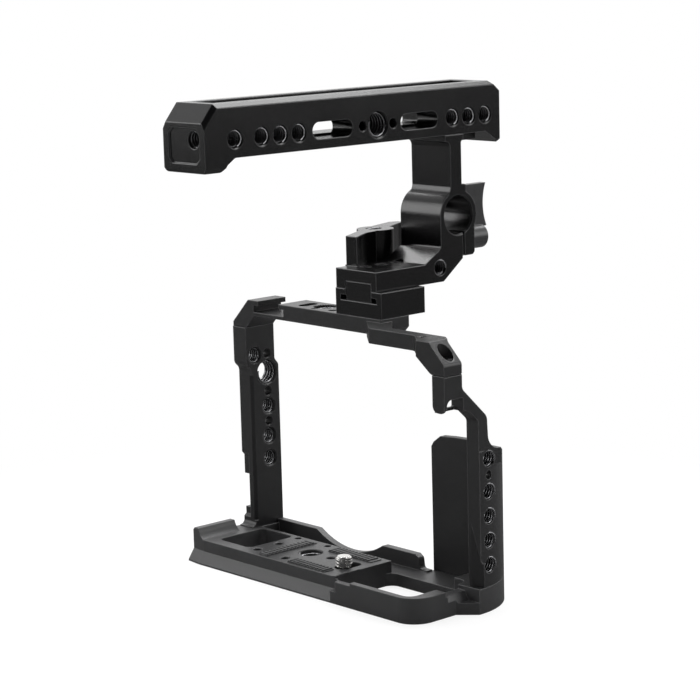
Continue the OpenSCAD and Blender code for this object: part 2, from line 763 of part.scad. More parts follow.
// Riser: foot, ring with its slit and jaw, column and flange
module riser() {
    front = ring_y + 8.8;
    // unit vector from the hollow curve's centre to the ring's centre, Z counted downwards
    way_in = [ring_y - column_rear + web_r, web_z - ring_z] / (ring_r + web_r);
    color([0.08, 0.08, 0.083]) difference() {
        union() {
            along_x(riser_left, riser_right) union() {
                soft_outline(
                    [[shoe_rear, foot_low], [46.3, foot_low], [57.2, foot_low + 8.2], [57.2, ring_z],
                     [ring_y - ring_r, ring_z], [ring_y - ring_r, ring_z - 12.4], [36, foot_high],
                     [shoe_rear, foot_high]],
                    [0, 1, 0, 0, 0, 2, 2, 0]
                );
                translate([ring_y, ring_z]) circle(r = ring_r);
                soft_outline(
                    [[slit_y - 1, jaw_low], [front, jaw_low], [front, ring_z + 2.6], [slit_y, ring_z + 9],
                     [slit_y - 1, ring_z + 9]],
                    [0, 1.8, 3, 0, 0]
                );
                // small ledge before the column
                soft_outline(
                    [[column_front - 1, ring_z + 5], [column_front + 2.4, ring_z + 5],
                     [column_front + 2.2, ring_z + 12.2], [column_front - 1, ring_z + 12.2]],
                    [0, 0, 1, 0]
                );
            }
            along_x(column_left, riser_right) union() {
                soft_outline(
                    [[column_rear, ring_z], [column_front, ring_z], [column_front, flange_z],
                     [flange_front, flange_z], [flange_front, recess_z], [flange_rear, recess_z],
                     [flange_rear, flange_z], [column_rear, flange_z]],
                    [0, 0, 1.2, 0, 0, 0, 0, 2.5]
                );
                // hollow curve from the ring up into the column
                difference() {
                    polygon([
                        [column_rear + over, web_z], [column_rear - web_r, web_z],
                        [column_rear - web_r * (1 - way_in[0]), web_z - web_r * way_in[1]], [ring_y, ring_z]
                    ]);
                    translate([column_rear - web_r, web_z]) circle(r = web_r + slip);
                }
            }
            // tongue under the handle
            block([riser_x - tongue_half, column_front - over, tongue_z],
                [riser_x + tongue_half, tongue_front, recess_z]);
            translate([0, 0, foot_high - 7]) linear_extrude(height = block_z - foot_high + 7) tall_plan();
            block([tall_x, 22, foot_high - 7], [riser_left + over, 44, foot_high - over]);
        }
        // pocket of the slider's neck
        block([slot_x - mouth_w / 2, shoe_rear - over, foot_low - over],
            [slot_x + mouth_w / 2, pocket_front, foot_low + pocket_h]);
        // rod bore and slit
        translate([riser_left - over, ring_y, ring_z]) rotate([0, 90, 0]) cylinder(r = bore_r, h = riser_w + 2 * over);
        hole_x(riser_left, riser_right, ring_y, ring_z, rod_d, 0.6);
        along_x(riser_left - over, riser_right + over)
            translate([slit_y, jaw_low - over]) square([slit_t, ring_z - jaw_low]);
        // hole of the clamp screw
        translate([riser_x, clamp_rear, clamp_z]) rotate([-90, 0, 0]) cylinder(r = clamp_r, h = 30);
        // side hole of the neck, and holes of the tall block
        translate([riser_right + over, 44.5, foot_low + 5.8]) rotate([0, -90, 0])
            cylinder(r = quarter_d / 2, h = 9 + over);
        translate([tall_x - 0.4, tall_y - 0.5, block_z - 9]) cylinder(r = quarter_d / 2, h = 9 + over);
        for (y = slider_spots) screw_seat(slider_x, y, slider_head_z, slider_screw_len, 2.2 + over, false);
        for (spot = riser_spots) screw_seat(spot[0], spot[1], riser_head_z, riser_screw_len, 2.2 + over, true);
        for (x = dowel_spots)
            translate([x, dowel_y, tongue_z + 0.6]) cylinder(r = big_dowel_r + dowel_gap, h = 5.8);
    }
}

// Places of the screws and dowels between the tongue and the handle
riser_spots = [[riser_x, 61.2], [riser_x, 67.8]];
riser_head_z = tongue_z + 2.2;
riser_screw_len = handle_hole_z - quarter_d / 2 - 0.8 - riser_head_z;
dowel_spots = [riser_x - 4.2, riser_x + 4.2];
dowel_y = 64.5;
big_dowel_r = 1.5;

// Side view of the handle bar
module handle_side() {
    soft_outline(
        [[handle_rear, handle_low], [handle_rear + 8.4, handle_low], [handle_rear + 10.4, handle_low + 2.6],
         [handle_rear + 14, recess_z],
         [slope_start, recess_z], [handle_front - 0.8, handle_low + 0.2], [handle_front, handle_low + 1.1],
         [handle_front, handle_top - 4.2], [handle_front - 5.1, handle_top],
         [handle_rear + end_slope[0], handle_top], [handle_rear, handle_top - end_slope[1]]],
        [1, 1.5, 0, 3, 0, 0, 0, 0, 0, 0, 0]
    );
}

// Rows along the handle: round holes, pin holes and slots through the sides
handle_pitch = 9.05;
handle_quarters = [
    handle_rear + 14.4, handle_rear + 27, handle_rear + 27 + handle_pitch, handle_rear + 27 + 2 * handle_pitch,
    71 - 2 * handle_pitch, 71 - handle_pitch, 71
];
top_hole_depth = 8.5;
handle_tops = [handle_rear + 20.6, handle_rear + 56, 34.6, 57.4];
handle_slots = [[handle_rear + 51.7, 20.3], [24.5, 20.1]];
handle_big_y = 12.7;

// Handle bar with its side holes, top channel and end pocket
module handle_bar() {
    left = handle_left;
    right = handle_right;
    color([0.08, 0.08, 0.083]) difference() {
        intersection() {
            along_x(left, right) handle_side();
            along_y(handle_rear - over, handle_front + over)
                polygon([
                    [left + low_bevel, handle_low], [right - low_bevel, handle_low], [right, handle_low + low_bevel],
                    [right, handle_top - top_bevel], [right - top_bevel, handle_top],
                    [left + top_bevel, handle_top], [left, handle_top - top_bevel], [left, handle_low + low_bevel]
                ]);
        }
        for (y = handle_quarters) hole_x(left, right, y, handle_hole_z, quarter_d, 0.5);
        hole_x(right - web_t + 1.4, right, handle_big_y, handle_hole_z, eighths_d, 0.5);
        for (y = [handle_big_y - 8, handle_big_y + 7.9]) hole_x(right - 7, right, y, handle_hole_z, pin_d, 0.3);
        for (slot = handle_slots)
            along_x(right - web_t - 0.5, right + over)
                soft_rect(slot[0], handle_hole_z - 3.2, slot[0] + slot[1], handle_hole_z + 3.2, 3.19);
        // groove of the far side that both slots and the large hole open into
        along_x(left - over, right - web_t) soft_rect(-22, handle_hole_z - groove_half, 48.3,
            handle_hole_z + groove_half, 1);
        // channel along the top between two rails
        along_y(handle_rear + 9, handle_front - 9)
            polygon([
                [riser_x - 6.5, handle_top + over], [riser_x - 6.5, handle_top - 2], [riser_x - 6, handle_top - 2.5],
                [riser_x + 6, handle_top - 2.5], [riser_x + 6.5, handle_top - 2], [riser_x + 6.5, handle_top + over]
            ]);
        for (y = handle_tops)
            translate([riser_x, y, handle_top - top_hole_depth]) cylinder(r = quarter_d / 2, h = top_hole_depth);
        // bevels along the slope of the near end
        for (side = [0, 1])
            translate([side == 0 ? right : left, handle_rear, handle_top - end_slope[1]])
                mirror([side, 0, 0]) rotate([atan2(end_slope[1], end_slope[0]), 0, 0])
                    along_y(-8, norm(end_slope) + 8)
                        polygon([[-top_bevel - over, over], [over, -top_bevel - over], [over, over]]);
        // shallow pocket and screw hole of the near end
        along_y(handle_rear - over, handle_rear + 0.7)
            soft_outline(
                [[left + 5, handle_low + 3.5], [right - 5, handle_low + 3.5], [right - 3, handle_low + 5.5],
                 [right - 3, handle_low + 14.5], [right - 5, handle_low + 16.5], [left + 5, handle_low + 16.5],
                 [left + 3, handle_low + 14.5], [left + 3, handle_low + 5.5]],
                [0, 0, 0, 0, 0, 0, 0, 0]
            );
        translate([riser_x + 5, handle_rear - over, handle_hole_z + 0.3]) rotate([-90, 0, 0])
            cylinder(r = quarter_d / 2, h = 9);
        for (spot = riser_spots) screw_seat(spot[0], spot[1], riser_head_z, riser_screw_len, 0.5, true);
        for (x = dowel_spots)
            translate([x, dowel_y, tongue_z + 0.6]) cylinder(r = big_dowel_r + dowel_gap, h = 5.8);
    }
}

// Screws and dowels
module post_screws() {
    color([0.2, 0.2, 0.2]) for (foot = feet) machine_screw(foot[0], foot[1], foot_head_z, foot_screw_len, true);
}

module frame_screws() {
    color([0.2, 0.2, 0.2]) {
        for (spot = left_tops) machine_screw(spot[0], spot[1], top_head_z, top_screw_len, false);
        for (spot = right_tops) machine_screw(spot[0], spot[1], right_head_z, top_screw_len, false);
    }
}

module frame_dowels() {
    color([0.5, 0.5, 0.5]) for (spot = right_dowels)
        translate([spot[0], spot[1], dowel_low + 0.1]) cylinder(r = dowel_r, h = dowel_high - dowel_low - 0.2);
}

module shoe_screws() {
    color([0.2, 0.2, 0.2]) for (spot = shoe_spots) machine_screw(spot[0], spot[1], plate_z + 2.6, 9.6, true);
}

module slider_screws() {
    color([0.2, 0.2, 0.2]) for (y = slider_spots) machine_screw(slider_x, y, slider_head_z, slider_screw_len, false);
}

module riser_screws() {
    color([0.2, 0.2, 0.2]) for (spot = riser_spots)
        machine_screw(spot[0], spot[1], riser_head_z, riser_screw_len, true);
}

module riser_dowels() {
    color([0.5, 0.5, 0.5]) for (x = dowel_spots)
        translate([x, dowel_y, tongue_z + 0.7]) cylinder(r = big_dowel_r, h = 5.6);
}

// Washer that rides in the wide part of the slot and carries the camera screw
carrier_low = base_t - 5.5;
carrier_t = 1;

module screw_carrier() {
    color([0.5, 0.5, 0.5]) translate([camera_x, camera_y, carrier_low]) difference() {
        cylinder(r = camera_head_r, h = carrier_t);
        translate([0, 0, -over]) cylinder(r = camera_neck_r + clamp_run, h = carrier_t + 2 * over);
    }
}

// Screw that holds the camera, with a coin slot below and a thinner neck in its washer
module camera_screw() {
    head_low = 0.7;
    head_high = carrier_low - 0.3;
    thread_low = base_t + 0.3;
    top = base_t + camera_proud;
    color([0.75, 0.75, 0.76]) translate([camera_x, camera_y, 0]) difference() {
        union() {
            translate([0, 0, head_low]) cylinder(r = camera_head_r, h = head_high - head_low);
            translate([0, 0, head_low + over]) cylinder(r = camera_neck_r, h = thread_low - head_low);
            translate([0, 0, thread_low]) cylinder(r = camera_shank_r, h = top - thread_low - 0.6);
            translate([0, 0, top - 0.6]) cylinder(r1 = camera_shank_r, r2 = camera_shank_r - 0.6, h = 0.6);
        }
        block([-0.7, -camera_head_r - over, head_low - over], [0.7, camera_head_r + over, head_low + 1.2]);
    }
}

// Clamp screw: washer, stud and the one sided wing
washer_y = ring_front + 0.35;
washer_t = 0.8;
hub_y = washer_y + washer_t;
hub_r = 4.9;
hub_front = ring_y + 24.8;
hub_edge = 0.8;
wing_rear = ring_y + 15;
wing_front = ring_y + 26.3;
wing_foot = 4;
wing_curve = 22.3;

module clamp_washer() {
    color([0.5, 0.5, 0.5]) translate([riser_x, washer_y, clamp_z]) rotate([-90, 0, 0]) difference() {
        cylinder(r = hub_r + 0.8, h = washer_t);
        translate([0, 0, -over]) cylinder(r = clamp_r - clamp_run + 0.02, h = washer_t + 2 * over);
    }
}

module clamp_stud() {
    color([0.5, 0.5, 0.5]) translate([riser_x, clamp_rear + 0.4, clamp_z]) rotate([-90, 0, 0])
        cylinder(r = clamp_r - clamp_run, h = hub_y + 6 - clamp_rear - 0.4);
}

module wing_knob() {
    half = 1.5;
    color([0.2, 0.2, 0.2]) difference() {
        union() {
            translate([riser_x, hub_y, clamp_z]) rotate([-90, 0, 0])
                cylinder(r = hub_r, h = hub_front - hub_edge - hub_y);
            translate([riser_x, hub_front - hub_edge, clamp_z]) rotate([-90, 0, 0])
                cylinder(r1 = hub_r, r2 = hub_r - hub_edge, h = hub_edge);
            along_x(riser_x - half, riser_x + half)
                difference() {
                    soft_outline(
                        [[wing_rear, clamp_z], [hub_front - 2, clamp_z], [hub_front - 2, clamp_z + wing_foot],
                         [wing_front, clamp_z + wing_foot], [wing_front, clamp_z + wing_reach],
                         [wing_rear, clamp_z + wing_reach]],
                        [0, 0, 0, 0, 0, 0.5]
                    );
                    translate([wing_front + wing_curve - 1.8, clamp_z + (wing_reach + hub_r) / 2])
                        circle(r = wing_curve);
                }
        }
        translate([riser_x, hub_y - over, clamp_z]) rotate([-90, 0, 0])
            cylinder(r = clamp_r - clamp_run + 0.02, h = 6 + over);
    }
}

base_plate();
base_pads();
left_post();
right_post();
grip_plate();
top_frame();
shoe_block();
post_screws();
frame_screws();
frame_dowels();
shoe_screws();
grip_screws();
screw_carrier();
camera_screw();
handle_bar();
riser();
shoe_slider();
slider_screws();
riser_screws();
riser_dowels();
wing_knob();
clamp_stud();
clamp_washer();
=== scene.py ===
"""Camera cage with a sliding top handle: finishes, screw threads, studio and camera.

The solid shapes come from the frame. This script gives them their finishes and adds the
screw threads, one piece for each group of like holes. Sizes are in millimetres unless a
name or a comment says otherwise, and the scene itself is in metres.
"""

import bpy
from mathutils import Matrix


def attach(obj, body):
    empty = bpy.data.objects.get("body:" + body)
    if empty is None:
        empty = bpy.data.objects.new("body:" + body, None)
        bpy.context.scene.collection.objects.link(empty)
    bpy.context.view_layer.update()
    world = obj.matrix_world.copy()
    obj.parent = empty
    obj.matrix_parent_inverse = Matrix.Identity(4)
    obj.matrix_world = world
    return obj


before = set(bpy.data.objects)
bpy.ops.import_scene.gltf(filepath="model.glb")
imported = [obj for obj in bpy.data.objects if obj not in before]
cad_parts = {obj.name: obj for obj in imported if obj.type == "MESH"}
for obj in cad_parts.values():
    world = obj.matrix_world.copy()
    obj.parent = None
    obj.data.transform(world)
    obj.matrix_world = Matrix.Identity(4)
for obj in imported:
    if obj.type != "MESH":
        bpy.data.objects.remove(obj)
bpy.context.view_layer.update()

import logging
import math
from dataclasses import dataclass
from enum import Enum
from typing import Sequence

import bmesh
import bpy
from mathutils import Matrix, Vector

LOG = logging.getLogger("camera_cage")
MM = 0.001

Point = tuple[float, float, float]
Colour = tuple[float, float, float]
WHITE: Colour = (1.0, 1.0, 1.0)
BLACK: Colour = (0.0, 0.0, 0.0)
EVEN: Point = (1.0, 1.0, 1.0)

# Numbers of the colour sockets of a Mix node
MIX_LOW = 6
MIX_HIGH = 7
MIX_RESULT = 2


class Body(Enum):
    """The moving bodies that carry added pieces."""

    CAGE = "cage"
    HANDLE = "handle"
    SCREW = "camera_screw"


class Axis(Enum):
    """Direction of a hole: its unit vector and the turn that takes +Z onto it."""

    X = ((1.0, 0.0, 0.0), (0.0, math.pi / 2, 0.0))
    Y = ((0.0, 1.0, 0.0), (-math.pi / 2, 0.0, 0.0))
    Z = ((0.0, 0.0, 1.0), (0.0, 0.0, 0.0))

    @property
    def unit(self) -> Vector:
        """Unit vector along the hole."""
        return Vector(self.value[0])

    @property
    def turn(self) -> Point:
        """Euler angles that turn +Z onto the hole's direction."""
        return self.value[1]


# ---------------------------------------------------------------- shader helpers


def grey(level: float, blue: float | None = None) -> Colour:
    """Make a grey with a faint cool cast.

    Args:
        level: Red and green.
        blue: Blue, where it differs.

    Returns:
        The colour.
    """
    return (level, level, level if blue is None else blue)


def scaled(colour: Colour, factor: float) -> Colour:
    """Multiply a colour by a number.

    Args:
        colour: The colour.
        factor: The number.

    Returns:
        The lighter or darker colour.
    """
    return tuple(part * factor for part in colour)


class Value:
    """A number socket that can be used in Python expressions."""

    def __init__(self, shade: "Shade", socket: bpy.types.NodeSocket) -> None:
        """Keep the node builder and the socket."""
        self.shade = shade
        self.socket = socket

    def _math(self, operation: str, left: "Value | float", right: "Value | float") -> "Value":
        """Add one Math node.

        Args:
            operation: Name of the Math node's operation.
            left: First input.
            right: Second input.

        Returns:
            The node's result.
        """
        made = self.shade.node("ShaderNodeMath", {"operation": operation}, {0: left, 1: right})
        return Value(self.shade, made.outputs[0])

    def __add__(self, other: "Value | float") -> "Value":
        """Sum."""
        return self._math("ADD", self, other)

    def __radd__(self, other: float) -> "Value":
        """Sum with a number on the left."""
        return self._math("ADD", other, self)

    def __sub__(self, other: "Value | float") -> "Value":
        """Difference."""
        return self._math("SUBTRACT", self, other)

    def __rsub__(self, other: float) -> "Value":
        """Difference with a number on the left."""
        return self._math("SUBTRACT", other, self)

    def __mul__(self, other: "Value | float") -> "Value":
        """Product."""
        return self._math("MULTIPLY", self, other)

    def __rmul__(self, other: float) -> "Value":
        """Product with a number on the left."""
        return self._math("MULTIPLY", other, self)


class Shade:
    """Builds the nodes of one material or of the world."""

    def __init__(self, owner: bpy.types.Material | bpy.types.World) -> None:
        """Start with an empty tree.

        Args:
            owner: The material or world.
        """
        owner.use_nodes = True
        self.owner = owner
        self.tree = owner.node_tree
        self.tree.nodes.clear()

    def node(
        self, kind: str, settings: dict | None = None, inputs: dict | None = None
    ) -> bpy.types.Node:
        """Add a node, set its settings and then its inputs.

        Args:
            kind: Type name of the node.
            settings: Attributes of the node.
            inputs: Values, Value objects or sockets by input name or number.

        Returns:
            The new node.
        """
        made = self.tree.nodes.new(kind)
        for key, value in (settings or {}).items():
            setattr(made, key, value)
        for key, value in (inputs or {}).items():
            socket = made.inputs[key]
            if isinstance(value, Value):
                self.tree.links.new(value.socket, socket)
            elif isinstance(value, bpy.types.NodeSocket):
                self.tree.links.new(value, socket)
            elif socket.type == "RGBA":
                socket.default_value = (*value, 1.0)
            else:
                socket.default_value = value
        return made

    def value(self, node: bpy.types.Node, output: str | int = 0) -> Value:
        """Wrap a node's number output.

        Args:
            node: The node.
            output: Name or number of the output.

        Returns:
            The value.
        """
        return Value(self, node.outputs[output])

    def place(self, stretch: Point = EVEN) -> bpy.types.NodeSocket:
        """Object coordinates, stretched along the axes.

        Args:
            stretch: Factor along each axis.

        Returns:
            The vector socket.
        """
        where = self.node("ShaderNodeTexCoord").outputs["Object"]
        made = self.node("ShaderNodeMapping", None, {"Vector": where, "Scale": stretch})
        return made.outputs["Vector"]

    def noise(self, scale: float, detail: float = 2.0, stretch: Point = EVEN) -> Value:
        """Noise between nought and one.

        Args:
            scale: Features per metre.
            detail: Octaves of the noise.
            stretch: Factor along each axis.

        Returns:
            The noise value.
        """
        inputs = {
            "Vector": self.place(stretch), "Scale": scale, "Detail": detail, "Roughness": 0.55,
        }
        made = self.node("ShaderNodeTexNoise", {"noise_dimensions": "3D"}, inputs)
        return self.value(made, "Fac")

    def ranged(
        self, value: Value, start: float, end: float, low: float, high: float, kind: str = "LINEAR"
    ) -> Value:
        """Map a value from one range to another and hold it inside.

        Args:
            value: The value.
            start: Value that gives the low result.
            end: Value that gives the high result.
            low: Result at the start.
            high: Result at the end.
            kind: Shape of the passage from low to high.

        Returns:
            The mapped value.
        """
        inputs = {"Value": value, "From Min": start, "From Max": end, "To Min": low, "To Max": high}
        return self.value(self.node("ShaderNodeMapRange", {"interpolation_type": kind}, inputs))

    def held(self, value: Value) -> Value:
        """Hold a value between nought and one."""
        return self.value(self.node("ShaderNodeClamp", None, {"Value": value}))

    def rounded(self, radius: float) -> bpy.types.NodeSocket:
        """Normal that rounds off the edges of a machined part.

        Args:
            radius: Radius of the edges, in metres.

        Returns:
            The normal socket.
        """
        made = self.node("ShaderNodeBevel", {"samples": 8}, {"Radius": radius})
        return made.outputs["Normal"]

    def edge_mask(self, radius: float) -> Value:
        """High on edges and nought on flat faces, from the rounded and the plain normal.

        Args:
            radius: How far the edge reaches into the faces, in metres.

        Returns:
            The mask.
        """
        plain = self.node("ShaderNodeNewGeometry").outputs["Normal"]
        vectors = {0: self.rounded(radius), 1: plain}
        made = self.node("ShaderNodeVectorMath", {"operation": "DOT_PRODUCT"}, vectors)
        return 1.0 - self.value(made, "Value")

    def blend(
        self, factor: Value, low: Colour | bpy.types.NodeSocket, high: Colour
    ) -> bpy.types.NodeSocket:
        """Mix two colours.

        Args:
            factor: Nought gives the first colour, one the second.
            low: First colour.
            high: Second colour.

        Returns:
            The colour socket.
        """
        inputs = {"Factor": factor, MIX_LOW: low, MIX_HIGH: high}
        made = self.node("ShaderNodeMix", {"data_type": "RGBA"}, inputs)
        return made.outputs[MIX_RESULT]

    def bump(
        self, height: Value, strength: float, distance: float, radius: float
    ) -> bpy.types.NodeSocket:
        """Raise a surface with rounded edges by a height.

        Args:
            height: Height field.
            strength: How much of the bump shows.
            distance: Height in metres of a value of one.
            radius: Radius of the edges, in metres.

        Returns:
            The bumped normal.
        """
        inputs = {
            "Strength": strength, "Distance": distance, "Height": height,
            "Normal": self.rounded(radius),
        }
        return self.node("ShaderNodeBump", None, inputs).outputs["Normal"]

    def mixed(
        self, factor: Value, low: bpy.types.NodeSocket, high: bpy.types.NodeSocket
    ) -> bpy.types.NodeSocket:
        """Mix two shaders.

        Args:
            factor: Nought gives the first shader, one the second.
            low: First shader.
            high: Second shader.

        Returns:
            The shader socket.
        """
        made = self.node("ShaderNodeMixShader", None, {0: factor, 1: low, 2: high})
        return made.outputs[0]

    def end(self, surface: bpy.types.NodeSocket, kind: str = "ShaderNodeOutputMaterial") -> None:
        """Link the last shader to the output.

        Args:
            surface: The shader.
            kind: Type name of the output node.
        """
        self.node(kind, None, {"Surface": surface})

    def finish(self, inputs: dict) -> bpy.types.Material:
        """End a material's tree in one shader.

        Args:
            inputs: Inputs of the Principled shader.

        Returns:
            The finished material.
        """
        self.end(self.node("ShaderNodeBsdfPrincipled", None, inputs).outputs["BSDF"])
        return self.owner


# ---------------------------------------------------------------- finishes


@dataclass(frozen=True)
class Anodised:
    """Black anodised aluminium, blasted or smooth.

    The blasting is a fine bump and handling leaves wide faint patches in the gloss. The
    edges are painted lighter, partly as wear of the coat and partly as a painted highlight
    along the edges. Lengths are in metres.
    """

    name: str
    colour: Colour
    # Colour of the edges: partly worn coat, partly a painted highlight along the edges
    wear_and_highlight_colour: Colour
    roughness: float
    gloss: float
    grain: float
    edge: float = 0.0005
    fine_scale: float = 9000.0
    patch_scale: float = 45.0
    grain_height: float = 0.00004
    tone: float = 0.14
    # The next three numbers set how strongly and how far the edges are lightened: partly wear of the coat,
    # partly a painted highlight
    wear_and_highlight: float = 2.2
    least_wear_and_highlight: float = 0.35
    wear_and_highlight_reach: float = 1.3
    patch_gloss: float = 0.1
    fine_gloss: float = 0.08

    def build(self) -> bpy.types.Material:
        """Make the material.

        Returns:
            The finished material.
        """
        s = Shade(bpy.data.materials.new(self.name))
        fine = s.noise(self.fine_scale, 1.0)
        patches = s.noise(self.patch_scale, 3.0)
        # Mask of the lighter edges: a painted highlight along the edges, partly worn coat
        edges = s.edge_mask(self.edge * self.wear_and_highlight_reach)
        worn_and_lit = s.held(edges * self.wear_and_highlight * (self.least_wear_and_highlight + patches))
        uneven = (patches - 0.5) * self.patch_gloss + (fine - 0.5) * self.fine_gloss
        low, high = scaled(self.colour, 1 - self.tone), scaled(self.colour, 1 + self.tone)
        return s.finish({
            "Base Color": s.blend(worn_and_lit, s.blend(patches, low, high), self.wear_and_highlight_colour),
            "Roughness": self.roughness + uneven,
            "Specular IOR Level": self.gloss,
            "Normal": s.bump(fine, self.grain, self.grain_height, self.edge),
        })


@dataclass(frozen=True)
class Steel:
    """Turned steel or nickel plate with fine turning marks. Lengths are in metres."""

    name: str
    colour: Colour
    roughness: float
    metallic: float = 1.0
    edge: float = 0.00015
    mark_scale: float = 2500.0
    mark_stretch: Point = (1.0, 1.0, 3.0)
    mark_strength: float = 0.12
    mark_height: float = 0.00005
    smear_scale: float = 180.0
    smear_tone: float = 0.88
    smear_gloss: float = 0.1
    smear_middle: float = 0.4

    def build(self) -> bpy.types.Material:
        """Make the material.

        Returns:
            The finished material.
        """
        s = Shade(bpy.data.materials.new(self.name))
        marks = s.noise(self.mark_scale, 2.0, self.mark_stretch)
        smear = s.noise(self.smear_scale, 2.0)
        return s.finish({
            "Base Color": s.blend(smear, scaled(self.colour, self.smear_tone), self.colour),
            "Roughness": self.roughness + (smear - self.smear_middle) * self.smear_gloss,
            "Metallic": self.metallic,
            "Normal": s.bump(marks, self.mark_strength, self.mark_height, self.edge),
        })


@dataclass(frozen=True)
class Rubber:
    """Matt dark rubber with dust in its grain. Lengths are in metres."""

    name: str
    colour: Colour
    roughness: float
    edge: float = 0.00012
    gloss: float = 0.35
    grain_scale: float = 5200.0
    grain_strength: float = 0.3
    grain_height: float = 0.00006
    dust_scale: float = 320.0
    clean_tone: float = 0.8
    dust_tone: float = 1.35
    dust_gloss: float = 0.12

    def build(self) -> bpy.types.Material:
        """Make the material.

        Returns:
            The finished material.
        """
        s = Shade(bpy.data.materials.new(self.name))
        grain = s.noise(self.grain_scale, 3.0)
        dust = s.noise(self.dust_scale, 3.0)
        low, high = scaled(self.colour, self.clean_tone), scaled(self.colour, self.dust_tone)
        return s.finish({
            "Base Color": s.blend(dust, low, high),
            "Roughness": self.roughness + (dust - 0.5) * self.dust_gloss,
            "Specular IOR Level": self.gloss,
            "Normal": s.bump(grain, self.grain_strength, self.grain_height, self.edge),
        })


Finish = Anodised | Steel | Rubber

# The second colour of each anodised finish lightens its edges: a painted highlight, partly worn coat
CAGE = Anodised("cage_satin", grey(0.03, 0.031), grey(0.15, 0.152), 0.35, 0.5, 0.9)
TOP = Anodised("frame_satin", grey(0.012, 0.0126), grey(0.12, 0.122), 0.31, 0.5, 0.8)
GLOSS = Anodised("gloss_black", grey(0.002, 0.0022), grey(0.11, 0.112), 0.2, 0.5, 0.3, 0.0006)
GRIP = Anodised("grip_dark", grey(0.013, 0.0136), grey(0.1, 0.102), 0.4, 0.4, 0.9)
KNOB = Anodised("knob_satin", grey(0.02, 0.021), grey(0.14, 0.142), 0.3, 0.7, 0.5)
STEEL = Steel("steel", grey(0.5), 0.3)
NICKEL = Steel("nickel", (0.86, 0.85, 0.83), 0.18)
BLACK_STEEL = Steel("screw_black", grey(0.07, 0.072), 0.33, 0.85)
THREAD = Steel("thread_cut", grey(0.3, 0.31), 0.24, 0.95)
RUBBER = Rubber("rubber", grey(0.06, 0.061), 0.55)


class Wardrobe:
    """Makes each finish once and hands it out."""

    def __init__(self) -> None:
        """Start with no finish made."""
        self.made: dict[str, bpy.types.Material] = {}

    def get(self, finish: Finish) -> bpy.types.Material:
        """Return the material of a finish.

        Args:
            finish: The finish wanted.

        Returns:
            Its material, made on the first call.
        """
        if finish.name not in self.made:
            self.made[finish.name] = finish.build()
        return self.made[finish.name]


# ---------------------------------------------------------------- threads


@dataclass(frozen=True)
class Thread:
    """Size of a screw thread: radius of its wall, pitch, and height of its ridge."""

    radius: float
    pitch: float
    depth: float


QUARTER = Thread(radius=3.25, pitch=1.27, depth=0.65)
THREE_EIGHTHS = Thread(radius=4.9, pitch=1.5875, depth=0.85)
CAMERA_QUARTER = Thread(radius=3.3, pitch=1.27, depth=0.35)


class ThreadTree:
    """Geometry Nodes that put a screw thread at each point of a mesh."""

    INPUTS = {
        "Radius": "NodeSocketFloat", "Depth": "NodeSocketFloat", "Length": "NodeSocketFloat",
        "Turns": "NodeSocketFloat", "Turned": "NodeSocketVector", "Finish": "NodeSocketMaterial",
    }
    STEPS_PER_TURN = 22
    RIDGE_SIDES = 4

    def __init__(self) -> None:
        """Build the tree with its named inputs."""
        self.tree = bpy.data.node_groups.new("thread_rows", "GeometryNodeTree")
        face = self.tree.interface
        face.new_socket("Geometry", in_out="INPUT", socket_type="NodeSocketGeometry")
        for label, kind in self.INPUTS.items():
            face.new_socket(label, in_out="INPUT", socket_type=kind)
        face.new_socket("Geometry", in_out="OUTPUT", socket_type="NodeSocketGeometry")
        given = self.node("NodeGroupInput").outputs
        spiral = self.node("GeometryNodeCurveSpiral", {
            "Resolution": self.STEPS_PER_TURN, "Rotations": given["Turns"],
            "Start Radius": given["Radius"], "End Radius": given["Radius"],
            "Height": given["Length"],
        })
        ridge = self.node("GeometryNodeCurvePrimitiveCircle", {
            "Resolution": self.RIDGE_SIDES, "Radius": given["Depth"],
        })
        sweep = self.node("GeometryNodeCurveToMesh", {
            "Curve": spiral.outputs["Curve"], "Profile Curve": ridge.outputs["Curve"],
            "Fill Caps": True,
        })
        turn = self.node("FunctionNodeEulerToRotation", {"Euler": given["Turned"]})
        put = self.node("GeometryNodeInstanceOnPoints", {
            "Points": given["Geometry"], "Instance": sweep.outputs["Mesh"],
            "Rotation": turn.outputs["Rotation"],
        })
        real = self.node("GeometryNodeRealizeInstances", {"Geometry": put.outputs["Instances"]})
        paint = self.node("GeometryNodeSetMaterial", {
            "Geometry": real.outputs["Geometry"], "Material": given["Finish"],
        })
        self.node("NodeGroupOutput", {"Geometry": paint.outputs["Geometry"]})

    def node(self, kind: str, inputs: dict | None = None) -> bpy.types.Node:
        """Add a node and set its inputs.

        Args:
            kind: Type name of the node.
            inputs: Values or sockets by input name.

        Returns:
            The new node.
        """
        made = self.tree.nodes.new(kind)
        for key, value in (inputs or {}).items():
            if isinstance(value, bpy.types.NodeSocket):
                self.tree.links.new(value, made.inputs[key])
            else:
                made.inputs[key].default_value = value
        return made

    def grow(self, name: str, points: Sequence[Vector], values: dict) -> bpy.types.Mesh:
        """Run the tree on a few points.

        Args:
            name: Name of the piece, for its mesh of points.
            points: Starting end of each thread, in metres.
            values: The tree's inputs by name.

        Returns:
            The grown threads as a plain mesh.
        """
        mesh = bpy.data.meshes.new(name + "_points")
        mesh.from_pydata(points, [], [])
        carrier = bpy.data.objects.new(name + "_carrier", mesh)
        bpy.context.scene.collection.objects.link(carrier)
        modifier = carrier.modifiers.new("threads", "NODES")
        modifier.node_group = self.tree
        for item in self.tree.interface.items_tree:
            if item.item_type == "SOCKET" and item.in_out == "INPUT" and item.name in values:
                modifier[item.identifier] = values[item.name]
        bpy.context.view_layer.update()
        seen = carrier.evaluated_get(bpy.context.evaluated_depsgraph_get())
        grown = bpy.data.meshes.new_from_object(seen)
        bpy.data.objects.remove(carrier)
        return grown


